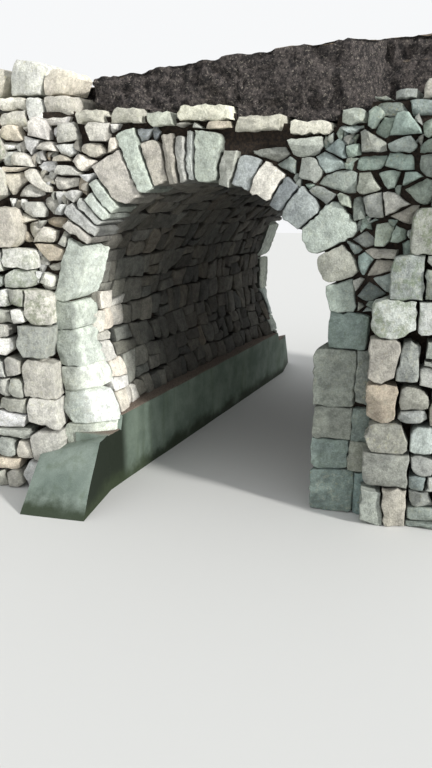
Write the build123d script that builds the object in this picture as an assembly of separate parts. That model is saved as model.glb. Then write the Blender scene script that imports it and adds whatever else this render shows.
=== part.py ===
from build123d import *
import os
from math import asin, cos, degrees, radians, sin, tan

# Small skewed stone bridge of dry-laid rubble over a channel.
# X runs along the wall faces, Y runs back through the arch, Z is up.
# The origin is at the middle of the plan, at the water line, where every wall ends.

os.makedirs("parts", exist_ok=True)

# Driving dimensions in millimetres, angles in degrees
arch_half_span = 1200          # opening, from its centre line to each jamb
springing_height = 1910        # water line to the springing joint
arch_rise = 1075               # springing to the underside of the crown
side_wall_width = 1350         # jamb to the outer end of each side wall
wall_to_wall = 4850            # front face to rear face, square to the faces
skew_angle = 13.2              # the channel runs this far off square
face_wall_depth = 400          # thickness of the spandrel walls and depth of the ring stones
vault_thickness = 300          # barrel behind the ring stones
crown_cover = 495              # underside of the crown to the bed of the slab course
ring_joint = 13                # open joint between two ring stones
ring_stone_chamfer = 8         # worn edges round the outer face

slab_thickness = 120
slab_gap = 18
slab_overhang = 30             # the slabs stand proud of the wall below
left_parapet_end = 1110        # centre line to where the left parapet has broken off
right_parapet_end = 1450
parapet_set_back = 30
left_parapet_course = 250      # bedded course under the loose top stones
right_parapet_course = 120
boulder_gap = 8

earth_set_back = 90            # the bare earth band stands back from the wall face
earth_band_height = 412        # slab course to the edge of the track, over the centre line
track_camber = 90              # edge of the track to its middle line
track_rise = 505               # climb of the track from the left end of the wall to the right end

ledge_height = 740             # concrete ledge along the left jamb
ledge_width = 295
ledge_fall = 12                # the ledge drains towards the channel
apron_width = 640              # concrete in front of the left pier, from the channel outwards
apron_channel_height = 600     # its top at the channel corner
apron_end_height = 420         # its top at the outer end
apron_foot = 475               # reach of its slope beyond the buttress face

plinth_height = 1580           # squared blocks along the right jamb
plinth_step = 109

buttress_projection = 200
left_pier_width = 150          # bare wall between the jamb and the buttress
right_pier_width = 360
shoulder_rise = 140            # springing to where the buttress starts to step back
shoulder_step_width = 135
shoulder_step_height = 370
shoulder_rounding = 95
buttress_drop = 50             # top of the buttress below the slab course

end_course_height = 450        # rough courses on the outer ends of the bridge
end_block_length = 620
end_joint_width = 30
end_joint_depth = 60
end_set_backs = [0, 20, 7, 28, 13, 24, 4]

# Ring stones from the left springing to the right one:
# width along the arch, length outwards, and how far the stone stands proud of the wall
ring_stones = [
    (560, 215, 0), (74, 285, 20), (90, 365, 14), (62, 320, 4), (84, 300, 18), (84, 340, 10),
    (220, 425, 22), (118, 575, 16), (125, 400, 5), (74, 440, 12), (68, 430, 3), (52, 440, 9),
    (175, 430, 18), (113, 340, 4), (150, 310, 12), (172, 310, 24), (112, 280, 6), (197, 300, 15),
    (252, 430, 20), (235, 300, 10), (226, 235, 0),
]

# Slabs over the crown from left to right: length, and how far each has sunk below the highest
slab_course = [(340, 0), (300, 0), (260, 30), (470, 0), (450, 90), (350, 130), (240, 50)]

# Boulders left on each broken parapet from its outer end inwards: length and height,
# and the worn outline of a boulder as shares of both, turned over for every second one
left_parapet_boulders = [(230, 150), (300, 210), (300, 270), (330, 305), (280, 215)]
right_parapet_boulders = [(260, 150), (230, 230), (210, 170), (190, 90), (160, 40)]
boulder_shares = [(0, 0.72), (0.16, 0.95), (0.5, 1), (0.84, 0.86), (1, 0.56)]

# Strips of the barrel from left to right; the outer ones carry the haunch backing
vault_strips = [
    "left_springing", "left_haunch", "left_shoulder", "crown",
    "right_shoulder", "right_haunch", "right_springing",
]
haunch_strips = 2

# Derived values
front = -wall_to_wall / 2
rear = wall_to_wall / 2
face_sides = (("front", front, -1), ("rear", rear, 1))
half_width = arch_half_span + side_wall_width
core_end = half_width - end_joint_depth
skew_slope = tan(radians(skew_angle))
arch_radius = (arch_half_span**2 + arch_rise**2) / (2 * arch_rise)
arch_centre_height = springing_height + arch_rise - arch_radius
start_angle = degrees(asin((springing_height - arch_centre_height) / arch_radius))
end_angle = 180 - start_angle
fill_front = front + face_wall_depth
fill_rear = rear - face_wall_depth
spandrel_top = springing_height + arch_rise + crown_cover
slab_top = spandrel_top + slab_thickness
channel_face = -arch_half_span + ledge_width
ledge_edge_height = ledge_height - ledge_fall
left_buttress_edge = arch_half_span + left_pier_width
right_buttress_edge = arch_half_span + right_pier_width
buttress_top = spandrel_top - buttress_drop


def skewed(x, y):
    """Plan position of a point that is measured square from the channel's centre line."""
    return x + y * skew_slope


def prism(outline, y_low, y_high):
    """Extrude an elevation outline of (x, z) points along the skewed channel."""
    corners = [Vector(skewed(x, y_low), y_low, z) for x, z in outline]
    face = Face(Wire.make_polygon(corners, close=True))
    length = y_high - y_low
    return Solid.extrude(face, Vector(length * skew_slope, length, 0))


def square_prism(outline, wall, projection):
    """Extrude an elevation outline square to the faces, outwards from a wall plane."""
    corners = [Vector(skewed(x, wall), wall, z) for x, z in outline]
    face = Face(Wire.make_polygon(corners, close=True))
    return Solid.extrude(face, Vector(0, projection, 0))


def plan_prism(outline, bottom, top):
    """Extrude a skewed plan outline of (x, y) points upwards."""
    corners = [Vector(skewed(x, y), y, bottom) for x, y in outline]
    face = Face(Wire.make_polygon(corners, close=True))
    return Solid.extrude(face, Vector(0, 0, top - bottom))


def rectangle(x_low, x_high, z_low, z_high):
    return [(x_low, z_low), (x_high, z_low), (x_high, z_high), (x_low, z_high)]


def write(name, *solids):
    """Write one named sub-part."""
    shape = solids[0] if len(solids) == 1 else Compound(children=list(solids))
    shape.label = name
    export_step(shape, f"parts/{name}.step")


# Arch geometry
def at_springing(angle):
    return angle <= start_angle + 0.001 or angle >= end_angle - 0.001


def ring_point(angle, depth):
    """Point behind the intrados: joints are radial, and level at the two springings."""
    a = radians(angle)
    x = -arch_radius * cos(a)
    z = arch_centre_height + arch_radius * sin(a)
    if at_springing(angle):
        return (x - depth if angle < 90 else x + depth, z)
    return (x - depth * cos(a), z + depth * sin(a))


def ring_layout():
    """For each ring stone: its first and last angle, its length and how proud it stands."""
    joint_angle = degrees(ring_joint / arch_radius)
    free_angle = end_angle - start_angle - joint_angle * (len(ring_stones) - 1)
    total_width = sum(width for width, length, proud in ring_stones)
    stones = []
    angle = start_angle
    for width, length, proud in ring_stones:
        turn = free_angle * width / total_width
        stones.append((angle, angle + turn, length, proud))
        angle += turn + joint_angle
    return stones


def back_of_stone(stone):
    """Outer end of a ring stone, run on by half a joint at each side."""
    first, last, length, proud = stone
    start = Vector(*ring_point(first, length))
    finish = Vector(*ring_point(last, length))
    half_joint = (finish - start).normalized() * (ring_joint / 2)
    if not at_springing(first):
        start = start - half_joint
    if not at_springing(last):
        finish = finish + half_joint
    return [(start.X, start.Y), (finish.X, finish.Y)]


layout = ring_layout()
crown_index = min(range(1, len(layout)), key=lambda i: abs(layout[i][0] + layout[i - 1][1] - 180))


# Walls and base
def rough_end(core, end_sign, bottom, top, y_low, y_high):
    """Add staggered rough blocks to the outer end of a wall, with open joints between them."""
    rows = max(1, round((top - bottom) / end_course_height))
    row_height = (top - bottom) / rows
    columns = max(1, round(wall_to_wall / end_block_length))
    length = wall_to_wall / columns
    half_joint = end_joint_width / 2
    blocks = []
    for row in range(rows):
        low = bottom + row * row_height + half_joint
        high = low + row_height - end_joint_width
        for column in range(columns + 1):
            start = front + (column - (row % 2) / 2) * length + half_joint
            finish = min(start + length - end_joint_width, y_high)
            start = max(start, y_low)
            if finish - start > end_joint_width:
                set_back = end_set_backs[(3 * row + column) % len(end_set_backs)]
                x_low, x_high = sorted((end_sign * core_end, end_sign * (half_width - set_back)))
                blocks.append(prism(rectangle(x_low, x_high, low, high), start, finish))
    return core.fuse(*blocks).solids()[0]


def make_abutments():
    for name, end_sign in (("left", -1), ("right", 1)):
        x_low, x_high = sorted((end_sign * arch_half_span, end_sign * core_end))
        core = prism(rectangle(x_low, x_high, 0, springing_height), front, rear)
        write(f"{name}_abutment", rough_end(core, end_sign, 0, springing_height, front, rear))
    plinth = rectangle(arch_half_span - plinth_step, arch_half_span, 0, plinth_height)
    write("right_channel_plinth", prism(plinth, front, rear))


def make_ledge():
    outline = [
        (-arch_half_span, 0),
        (channel_face, 0),
        (channel_face, ledge_edge_height),
        (-arch_half_span, ledge_height),
    ]
    write("left_channel_ledge", prism(outline, front, rear))


def make_aprons():
    """Concrete against each left pier: a narrow top as far out as the buttress, then a slope."""
    for name, wall, sign in face_sides:
        nose = wall + sign * buttress_projection
        foot = nose + sign * apron_foot
        channel_x = skewed(channel_face, wall)
        sections = []
        for x, top in ((channel_x, apron_channel_height), (channel_x - apron_width, apron_end_height)):
            corners = [Vector(x, wall, 0), Vector(x, wall, top), Vector(x, nose, top), Vector(x, foot, 0)]
            sections.append(Wire.make_polygon(corners, close=True))
        block = Solid.make_loft(sections, ruled=True)
        behind = rectangle(-half_width, -left_buttress_edge, 0, buttress_top)
        buttress = square_prism(behind, wall, sign * buttress_projection)
        write(f"{name}_pier_apron", (block - buttress).solids()[0])


def buttress_outline(inner_edge):
    """Elevation for the right-hand side, and the upper corners of its stepped shoulder."""
    x = inner_edge
    z = springing_height + shoulder_rise
    outline = [(half_width, 0), (x, 0)]
    corners = []
    while z + shoulder_step_height < buttress_top and x + shoulder_step_width < half_width:
        corners.append((x, z))
        x += shoulder_step_width
        outline += [corners[-1], (x, z)]
        z += shoulder_step_height
    corners.append((x, buttress_top))
    return outline + [corners[-1], (half_width, buttress_top)], corners


def make_buttresses():
    """Stepped buttresses whose shoulder stones are worn round."""
    ends = (("left", -1, left_buttress_edge), ("right", 1, right_buttress_edge))
    for name, wall, sign in face_sides:
        for side, end_sign, inner_edge in ends:
            outline, corners = buttress_outline(inner_edge)
            block = square_prism([(end_sign * x, z) for x, z in outline], wall, sign * buttress_projection)
            places = [Vector(skewed(end_sign * x, wall), 0, z) for x, z in corners]
            shoulder_edges = [
                edge for edge in block.edges().filter_by(Axis.Y)
                if any((Vector(edge.center().X, 0, edge.center().Z) - place).length < 1 for place in places)
            ]
            write(f"{name}_{side}_buttress", block.fillet(shoulder_rounding, shoulder_edges))


# Arch
def ring_stone(stone, wall, seat):
    """Wedge-shaped stone from its seat on the vault to its proud outer face, with worn edges."""
    first, last, length, proud = stone
    outline = [ring_point(first, 0), ring_point(first, length), ring_point(last, length), ring_point(last, 0)]
    nose = wall - proud if wall < seat else wall + proud
    block = prism(outline, min(nose, seat), max(nose, seat))
    outer_face = block.faces().sort_by(Axis.Y)[0 if wall < seat else -1]
    return block.chamfer(ring_stone_chamfer, None, outer_face.edges())


def make_ring():
    for number, stone in enumerate(layout, start=1):
        write(f"front_voussoir_{number:02d}", ring_stone(stone, front, fill_front))
    write("rear_arch_ring", *[ring_stone(stone, rear, fill_rear) for stone in layout])


def make_vault():
    turn = (end_angle - start_angle) / len(vault_strips)
    run = fill_rear - fill_front
    for index, name in enumerate(vault_strips):
        angles = [start_angle + turn * (index + share) for share in (0, 0.5, 1)]
        inner = [ring_point(angle, 0) for angle in angles]
        outer = [ring_point(angle, vault_thickness) for angle in (angles[2], angles[0])]
        corners = [Vector(skewed(x, fill_front), fill_front, z) for x, z in inner + outer]
        edges = [
            Edge.make_three_point_arc(*corners[:3]),
            Edge.make_line(corners[2], corners[3]),
            Edge.make_line(corners[3], corners[4]),
            Edge.make_line(corners[4], corners[0]),
        ]
        write(f"vault_{name}", Solid.extrude(Face(Wire(edges)), Vector(run * skew_slope, run, 0)))


# Walls above the springing
def spandrel_outline(side):
    backs = [point for stone in layout for point in back_of_stone(stone)]
    split = 2 * crown_index
    middle = ((backs[split - 1][0] + backs[split][0]) / 2, (backs[split - 1][1] + backs[split][1]) / 2)
    if side == "left":
        inner = backs[:split] + [middle, (middle[0], spandrel_top)]
        return [(-half_width, springing_height)] + inner + [(-half_width, spandrel_top)]
    inner = [(middle[0], spandrel_top), middle] + backs[split:]
    return inner + [(half_width, springing_height), (half_width, spandrel_top)]


def slab_places():
    """For each slab: its two ends and the height of its bed."""
    free_length = left_parapet_end + right_parapet_end - slab_gap * (len(slab_course) + 1)
    scale = free_length / sum(length for length, drop in slab_course)
    places = []
    x = -left_parapet_end + slab_gap
    for length, drop in slab_course:
        places.append((x, x + length * scale, spandrel_top - drop))
        x += length * scale + slab_gap
    return places


def strips_over(lift, y_low, y_high):
    """Prisms from each sunken slab's bed or top, by its lift over the bed, up to the level of the rest."""
    strips = []
    for x_low, x_high, bed in slab_places():
        if bed < spandrel_top:
            outline = rectangle(x_low - slab_gap / 2, x_high + slab_gap / 2, bed + lift, spandrel_top + lift)
            strips.append(prism(outline, y_low, y_high))
    return strips


def make_spandrels():
    """Walls over the arch, cut down where the slabs have sunk."""
    for name, low, high in (("front", front, fill_front), ("rear", fill_rear, rear)):
        for side in ("left", "right"):
            wall = prism(spandrel_outline(side), low, high)
            write(f"{name}_{side}_spandrel", wall.cut(*strips_over(0, low, high)).solids()[0])


def make_coping():
    outlines = [rectangle(x_low, x_high, bed, bed + slab_thickness) for x_low, x_high, bed in slab_places()]
    write("front_coping_slabs", *[prism(outline, front - slab_overhang, fill_front) for outline in outlines])
    write("rear_coping_slabs", *[prism(outline, fill_rear, rear + slab_overhang) for outline in outlines])


def parapet_outline(boulders, course, outer_end, inner_end):
    """Bedded course with the boulders that are left on it, each worn at its upper corners."""
    bed = spandrel_top + course
    inwards = 1 if inner_end > outer_end else -1
    free_length = abs(inner_end - outer_end) - boulder_gap * (len(boulders) - 1)
    scale = free_length / sum(length for length, height in boulders)
    outline = [(outer_end, spandrel_top)]
    x = outer_end
    for index, (length, height) in enumerate(boulders):
        reach = inwards * length * scale
        worn = boulder_shares
        if index % 2:
            worn = [(1 - along, up) for along, up in reversed(boulder_shares)]
        outline.append((x, bed))
        outline += [(x + reach * along, bed + height * up) for along, up in worn]
        outline.append((x + reach, bed))
        x += reach + inwards * boulder_gap
    return outline + [(inner_end, spandrel_top)]


def make_parapets():
    left = parapet_outline(left_parapet_boulders, left_parapet_course, -half_width, -left_parapet_end)
    right = parapet_outline(right_parapet_boulders, right_parapet_course, half_width, right_parapet_end)
    for name, low, high in (
        ("front", front + parapet_set_back, fill_front),
        ("rear", fill_rear, rear - parapet_set_back),
    ):
        write(f"{name}_left_parapet", prism(left, low, high))
        write(f"{name}_right_parapet", prism(right, low, high))


# Masonry backing over the haunches, earth over the crown and the track on top
def make_fill():
    turn = (end_angle - start_angle) / len(vault_strips)
    back = [ring_point(start_angle + turn * index, vault_thickness) for index in range(len(vault_strips) + 1)]
    left_end = haunch_strips
    right_end = len(vault_strips) - haunch_strips
    left_x = back[left_end][0]
    right_x = back[right_end][0]
    left = [(-core_end, slab_top), (-core_end, springing_height)] + back[:left_end + 1] + [(left_x, slab_top)]
    crown = [(left_x, slab_top)] + back[left_end:right_end + 1] + [(right_x, slab_top)]
    right = [(right_x, slab_top)] + back[right_end:] + [(core_end, springing_height), (core_end, slab_top)]
    write("crown_fill", prism(crown, fill_front, fill_rear))
    for name, end_sign, outline in (("left", -1, left), ("right", 1, right)):
        core = prism(outline, fill_front, fill_rear)
        backing = rough_end(core, end_sign, springing_height, slab_top, fill_front, fill_rear)
        write(f"{name}_haunch_backing", backing)


def make_track():
    """Crowned earth track that climbs to the right, narrower between the parapets, with its edges
    run down on to the sunken slabs."""
    edge = rear - earth_set_back
    left = -left_parapet_end
    right = right_parapet_end
    plan = [
        (-half_width, fill_front), (left, fill_front), (left, -edge),
        (right, -edge), (right, fill_front), (half_width, fill_front),
        (half_width, fill_rear), (right, fill_rear), (right, edge),
        (left, edge), (left, fill_rear), (-half_width, fill_rear),
    ]
    reach = half_width + rear
    climb = track_rise * reach / (2 * half_width)
    verge = slab_top + earth_band_height - climb
    foot = slab_top - 2 * climb
    section = [(-edge, foot), (edge, foot), (edge, verge), (0, verge + track_camber), (-edge, verge)]
    face = Face(Wire.make_polygon([Vector(-reach, y, z) for y, z in section], close=True))
    crowned = Solid.extrude(face, Vector(2 * reach, 0, 2 * climb))
    block = plan_prism(plan, slab_top, slab_top + earth_band_height + track_camber + climb)
    track = (block & crowned).solids()[0]
    edges = strips_over(slab_thickness, -edge, fill_front) + strips_over(slab_thickness, fill_rear, edge)
    write("earth_track", track.fuse(*edges).solids()[0])


make_abutments()
make_ledge()
make_aprons()
make_buttresses()
make_ring()
make_vault()
make_spandrels()
make_coping()
make_parapets()
make_fill()
make_track()
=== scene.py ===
import itertools
import math

import bmesh
import bpy
import numpy as np
from mathutils import Euler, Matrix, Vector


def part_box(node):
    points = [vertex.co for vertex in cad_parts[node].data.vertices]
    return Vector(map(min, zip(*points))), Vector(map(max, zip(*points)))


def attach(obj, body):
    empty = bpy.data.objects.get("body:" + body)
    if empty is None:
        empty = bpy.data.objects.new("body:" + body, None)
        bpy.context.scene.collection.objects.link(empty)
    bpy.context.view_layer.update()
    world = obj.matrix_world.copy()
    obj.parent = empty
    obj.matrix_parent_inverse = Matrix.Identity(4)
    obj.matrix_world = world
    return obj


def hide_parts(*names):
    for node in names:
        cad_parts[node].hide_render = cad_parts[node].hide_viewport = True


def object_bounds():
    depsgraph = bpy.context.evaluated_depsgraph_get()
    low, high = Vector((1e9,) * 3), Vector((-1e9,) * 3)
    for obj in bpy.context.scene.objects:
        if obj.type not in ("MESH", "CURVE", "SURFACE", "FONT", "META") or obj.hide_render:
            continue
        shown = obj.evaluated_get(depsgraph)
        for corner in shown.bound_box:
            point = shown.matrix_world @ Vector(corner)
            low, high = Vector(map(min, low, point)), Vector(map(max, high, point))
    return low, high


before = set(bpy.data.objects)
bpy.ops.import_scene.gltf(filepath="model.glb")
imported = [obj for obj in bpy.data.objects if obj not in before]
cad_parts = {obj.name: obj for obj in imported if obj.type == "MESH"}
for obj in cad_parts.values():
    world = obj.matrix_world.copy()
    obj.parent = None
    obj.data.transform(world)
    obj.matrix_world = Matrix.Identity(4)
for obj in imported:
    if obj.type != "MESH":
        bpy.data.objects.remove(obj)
cad_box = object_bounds()

# Sizes in metres, from the frame and from the driving dimensions of the bridge
skew_slope = math.tan(math.radians(13.2))
arch_half_span = 1.2
arch_rise = 1.075
face_wall_depth = 0.4
ring_stone_count = 21
ledge_width = 0.295
ledge_fall = 0.012
plinth_step = 0.109
left_buttress_edge = 1.35
right_buttress_edge = 1.56
shoulder_rise = 0.14
shoulder_step_width = 0.135
shoulder_step_height = 0.37
left_parapet_end = 1.11
right_parapet_end = 1.45
left_parapet_course = 0.25
right_parapet_course = 0.12
boulder_gap = 0.008
slab_thickness = 0.12
slab_gap = 0.018
earth_band_height = 0.412
track_camber = 0.09
track_rise = 0.505
apron_width = 0.64
apron_channel_height = 0.6
apron_end_height = 0.42
apron_foot = 0.475
end_course_height = 0.45
end_block_length = 0.62
end_set_backs = (0, 0.02, 0.007, 0.028, 0.013, 0.024, 0.004)

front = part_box("front_left_spandrel")[0].y
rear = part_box("rear_left_spandrel")[1].y
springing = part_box("left_abutment")[1].z
spandrel_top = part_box("front_left_spandrel")[1].z
slab_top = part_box("front_coping_slabs")[1].z
slab_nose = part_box("front_coping_slabs")[0].y
buttress_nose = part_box("front_left_buttress")[0].y
buttress_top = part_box("front_left_buttress")[1].z
plinth_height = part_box("right_channel_plinth")[1].z
ledge_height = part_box("left_channel_ledge")[1].z
earth_edge = -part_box("earth_track")[0].y
half_width = -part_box("front_left_spandrel")[0].x + front * skew_slope
parapet_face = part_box("front_left_parapet")[0].y
buttress_projection = front - buttress_nose
fill_front = front + face_wall_depth
fill_rear = rear - face_wall_depth
arch_radius = (arch_half_span**2 + arch_rise**2) / (2 * arch_rise)
arch_centre = springing + arch_rise - arch_radius
start_angle = math.asin((springing - arch_centre) / arch_radius)
end_angle = math.pi - start_angle
vault_length = arch_radius * (end_angle - start_angle)
channel_face = -arch_half_span + ledge_width
plinth_face = arch_half_span - plinth_step

# Slabs over the crown from left to right: length, and how far each has sunk
slab_course = [(0.34, 0), (0.30, 0), (0.26, 0.03), (0.47, 0), (0.45, 0.09), (0.35, 0.13), (0.24, 0.05)]

# Boulders on the broken parapets from the outer end inwards: length and height,
# and the worn outline of a boulder as shares of both, turned over for every second one
left_parapet_boulders = [(0.23, 0.15), (0.3, 0.21), (0.3, 0.27), (0.33, 0.305), (0.28, 0.215)]
right_parapet_boulders = [(0.26, 0.15), (0.23, 0.23), (0.21, 0.17), (0.19, 0.09), (0.16, 0.04)]
boulder_shares = [(0, 0), (0, 0.72), (0.16, 0.95), (0.5, 1), (0.84, 0.86), (1, 0.56), (1, 0)]

# Stones of the visible model: usual length and height in the face walls
left_wall_stone = (0.26, 0.135)
right_wall_stone = (0.25, 0.16)

# Depths, heights and shares that shape the stonework
fallen_share = 0.05             # stones that have fallen out and left a dark hole
core_depth = 0.085              # the dark core lies this far behind the wall faces
quoin_depth = 0.33              # the corner stones of the arch run this far in
sunlit_depth = 0.8              # stones painted pale as in sunlight reach this far into the arch on the left
dim_depth = 1.9                 # behind this the stones are painted dark as in shade, and damp
low_vault = 0.45                # and so they are higher up than this in the vault
foot_swell = 0.15               # the left side wall swells out over the ledge at its foot
entrance_swell = 0.14           # and a little more by the entrance,
entrance_length = 0.7           # which fades out over this length
swell_height = 0.75             # the swelling fades out this far above the ledge
splay_depth = 0.2               # and grows from nothing over this depth behind the faces
ledge_notch = splay_depth + 0.06    # both ends of the ledge are lower for this length

# How uneven the masonry is
bed_shake = 0.16                # of each bed, as a share of the course height
block_lengths = (0.65, 1.35)    # as shares of the usual length
joint_lean = 0.04
cell_shake = 0.48               # of the places of irregular stones, in stone sizes
lost_share = 0.05               # places that their neighbours take over
least_part = 0.0004             # areas below which nothing is made of a piece
least_stone = 0.0012
least_pinning = 0.001
least_width = 0.022
fitting_gap = 0.004             # between stones that are set first and those fitted round them
worn_arris = 0.009
deepest_face = 2.4              # how far a face may fall back, in reliefs
stone_lumps = ((0.08, 0.008), (0.03, 0.003))    # spacing and height
stone_arris_angle = 27          # degrees above which an edge stays sharp
tiny = 1e-9

# Camera of the photograph, in metres, degrees and pixels, and the light in its direction
camera_place = (0.939, -8.069, 2.917)
camera_pitch = 16.53
camera_turn = 13.04
camera_roll = -0.22
focal_pixels = 650.0
picture_height = 768.0
sun_strength = 3.8
sun_width = 7
sun_tilt = 69
sun_turn = 70
sky_strength = 0.8

# How blocks are broken into stones: usual area, flatness, widths of the joints drawn in on each
# side, and share of knocked corners
quoin_bond = {"target": 0.12, "flatness": 1.2, "joint": (0.002, 0.008), "broken": 0.6}
buttress_bond = {"target": 0.045, "flatness": 1.5, "joint": (0.003, 0.012), "broken": 0.6}
marked_bond = {"target": 1.0, "flatness": 1.0, "joint": (0.0, 0.004), "broken": 0.5}
left_wall_bond = {"target": 0.05, "flatness": 1.9, "joint": (0.002, 0.014), "broken": 0.15}
right_wall_bond = {"target": 0.06, "flatness": 1.5, "joint": (0.001, 0.011), "broken": 0.2}
end_bond = {"target": 0.09, "flatness": 1.7, "joint": (0.002, 0.012), "broken": 0.3}
lining_bond = {"target": 0.05, "flatness": 1.2, "joint": (0.0005, 0.004), "broken": 0.35}
plinth_bond = {"target": 0.3, "flatness": 1.6, "joint": (0.002, 0.009), "broken": 0.4}
plinth_top_bond = {"target": 0.2, "flatness": 3.0, "joint": (0.002, 0.009), "broken": 0.4}
parapet_bond = {"target": 0.05, "flatness": 1.5, "joint": (0.002, 0.01), "broken": 0.5}

# Finish of the stones: relief of the broken face, spacing of the points of the outline, wear of the
# arrises, tilt of the face, and levels at which long sides are uneven
ring_finish = {
    "relief": 0.018, "spacing": 0.032, "wear": 0.007, "tilt": 0.3, "levels": (0.04, 0.12, 0.2, 0.28, 0.35),
}
buttress_finish = {"relief": 0.02, "wear": 0.009}
jamb_finish = {"relief": 0.016, "spacing": 0.045, "wear": 0.008}
pinning_finish = {"relief": 0.008, "spacing": 0.03, "wear": 0.002}
wall_finish = {"spacing": 0.038, "wear": 0.004, "tilt": 0.5}
end_finish = {"relief": 0.02, "spacing": 0.06, "tilt": 0.4}
lining_finish = {"spacing": 0.05, "wear": 0.004, "tilt": 0.4}
plinth_finish = {"relief": 0.014, "spacing": 0.06}
plinth_top_finish = {"relief": 0.01, "spacing": 0.06}
slab_finish = {"relief": 0.018, "spacing": 0.035, "wear": 0.011, "levels": (0.03, 0.1, 0.22)}
boulder_finish = {"relief": 0.022, "spacing": 0.045, "wear": 0.009, "levels": (0.03, 0.11, 0.2)}

# Stones that stand out in the photograph's walls: place of the middle, length at the foot and
# at the top, height, and lean to the right in degrees
marked_stones = [
    (-1.68, 3.42, 0.21, 0.17, 0.13, 0), (-1.41, 3.46, 0.23, 0.14, 0.17, 12),
    (-1.15, 3.42, 0.20, 0.15, 0.16, -8), (-1.35, 3.31, 0.21, 0.10, 0.09, 6),
    (-0.83, 3.41, 0.17, 0.27, 0.16, 0), (-1.60, 3.20, 0.21, 0.16, 0.12, 8),
    (-1.22, 3.21, 0.19, 0.05, 0.07, 0), (-1.15, 3.10, 0.26, 0.18, 0.09, 4),
    (-1.51, 2.76, 0.17, 0.20, 0.14, 0), (1.71, 3.42, 0.31, 0.18, 0.17, 0),
    (1.48, 3.46, 0.09, 0.12, 0.18, 30), (1.64, 3.00, 0.05, 0.20, 0.14, -8),
    (1.61, 2.57, 0.12, 0.15, 0.21, 4), (1.27, 2.85, 0.19, 0.12, 0.09, 18),
    (1.26, 2.67, 0.15, 0.14, 0.15, 8), (1.33, 3.23, 0.12, 0.11, 0.09, -6),
]


# Colours, written as they look on screen
def colour(text):
    """Linear colour of a six-digit screen colour."""
    values = [int(text[i:i + 2], 16) / 255 for i in (0, 2, 4)]
    return np.array([v / 12.92 if v <= 0.04045 else ((v + 0.055) / 1.055) ** 2.4 for v in values])


def palette(*texts):
    return [colour(text) for text in texts]


# painted light and shade: sunny tints stand for sunlit stone; shaded, dim and gloomy tints stand for stone in
# shade
sunny = palette("f2f0eb", "e8e5dd", "f4f2ef", "dedbd2", "ebe4d8", "dad5c9", "edebe4")
pale = palette("cdccc5", "c4c3bb", "d5d4ce", "bbbdb5", "cac6bd")
mixed = palette("c1c3bd", "b0b3ae", "d1d0c9", "a1a5a1", "bab5ab", "abafac", "b7bdb8")
shaded = palette("a1aba7", "aeb7b2", "909996", "b5bcb7", "87918e", "a5a69e", "c0c5c0")
dim = palette("9b9c94", "8c8d86", "a8a9a1", "808179", "959389")
gloomy = palette("6c6963", "75716b", "605e59", "7b7770", "676560", "5a5854")
bluish = palette("9ba2a8", "8e969c", "a9aeb1")
tan = palette("c2b8a8", "cdc3b3", "b1a697")
light_green = palette("a8b6ac", "b3beb3", "9fb0a8")
jamb_grey = palette("b1b7af", "babfb8", "a8aea6")
jamb_teal = palette("8a9893", "94a09b", "84918d", "949a93")


# Polygons in the plane of a wall; all are convex and run anticlockwise
def area(polygon):
    if len(polygon) < 3:
        return 0.0
    x, y = polygon[:, 0], polygon[:, 1]
    return 0.5 * float(np.dot(x, np.roll(y, -1)) - np.dot(y, np.roll(x, -1)))


def cut(polygon, point, normal):
    """Part of a polygon behind a line; the normal points to the side that falls away."""
    if len(polygon) < 3:
        return polygon
    distance = (polygon - point) @ normal
    kept = []
    for i in range(len(polygon)):
        j = (i + 1) % len(polygon)
        if distance[i] <= 0:
            kept.append(polygon[i])
        if distance[i] * distance[j] < 0:
            share = distance[i] / (distance[i] - distance[j])
            kept.append(polygon[i] + share * (polygon[j] - polygon[i]))
    return np.array(kept)


def edge_normals(polygon):
    along = np.roll(polygon, -1, axis=0) - polygon
    length = np.linalg.norm(along, axis=1, keepdims=True)
    return np.stack([along[:, 1], -along[:, 0]], axis=1) / np.maximum(length, tiny)


def inset(polygon, rng, least, most):
    """Draw each edge in by its own share of the joint."""
    result = polygon
    for point, normal in zip(polygon, edge_normals(polygon)):
        result = cut(result, point - normal * rng.uniform(least, most), normal)
    return result


def clear_of(polygon, obstacle, margin):
    """Largest part of a polygon that stays clear of an obstacle by a margin."""
    best = np.zeros((0, 2))
    if len(polygon) < 3:
        return best
    for point, normal in zip(obstacle, edge_normals(obstacle)):
        line = point + normal * margin
        if ((polygon - line) @ normal).min() >= 0:
            return polygon
        part = cut(polygon, line, -normal)
        if area(part) > area(best):
            best = part
    for point, normal in zip(polygon, edge_normals(polygon)):
        if ((obstacle - point) @ normal).min() >= 0:
            return polygon
    return best


def chipped(polygon, rng, chance, size):
    """Knock off some corners."""
    result = polygon
    centre = polygon.mean(axis=0)
    for corner in polygon:
        if rng.random() < chance:
            outwards = corner - centre
            outwards = outwards / max(np.linalg.norm(outwards), tiny)
            turn = rng.uniform(-0.6, 0.6)
            normal = np.array([
                outwards[0] * math.cos(turn) - outwards[1] * math.sin(turn),
                outwards[0] * math.sin(turn) + outwards[1] * math.cos(turn),
            ])
            result = cut(result, corner - normal * size * rng.uniform(0.3, 1.0), normal)
    return result


def rectangle(x_low, x_high, z_low, z_high):
    return np.array([(x_low, z_low), (x_high, z_low), (x_high, z_high), (x_low, z_high)], float)


def mirrored(polygon):
    return np.stack([-polygon[:, 0], polygon[:, 1]], axis=1)[::-1]


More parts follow.
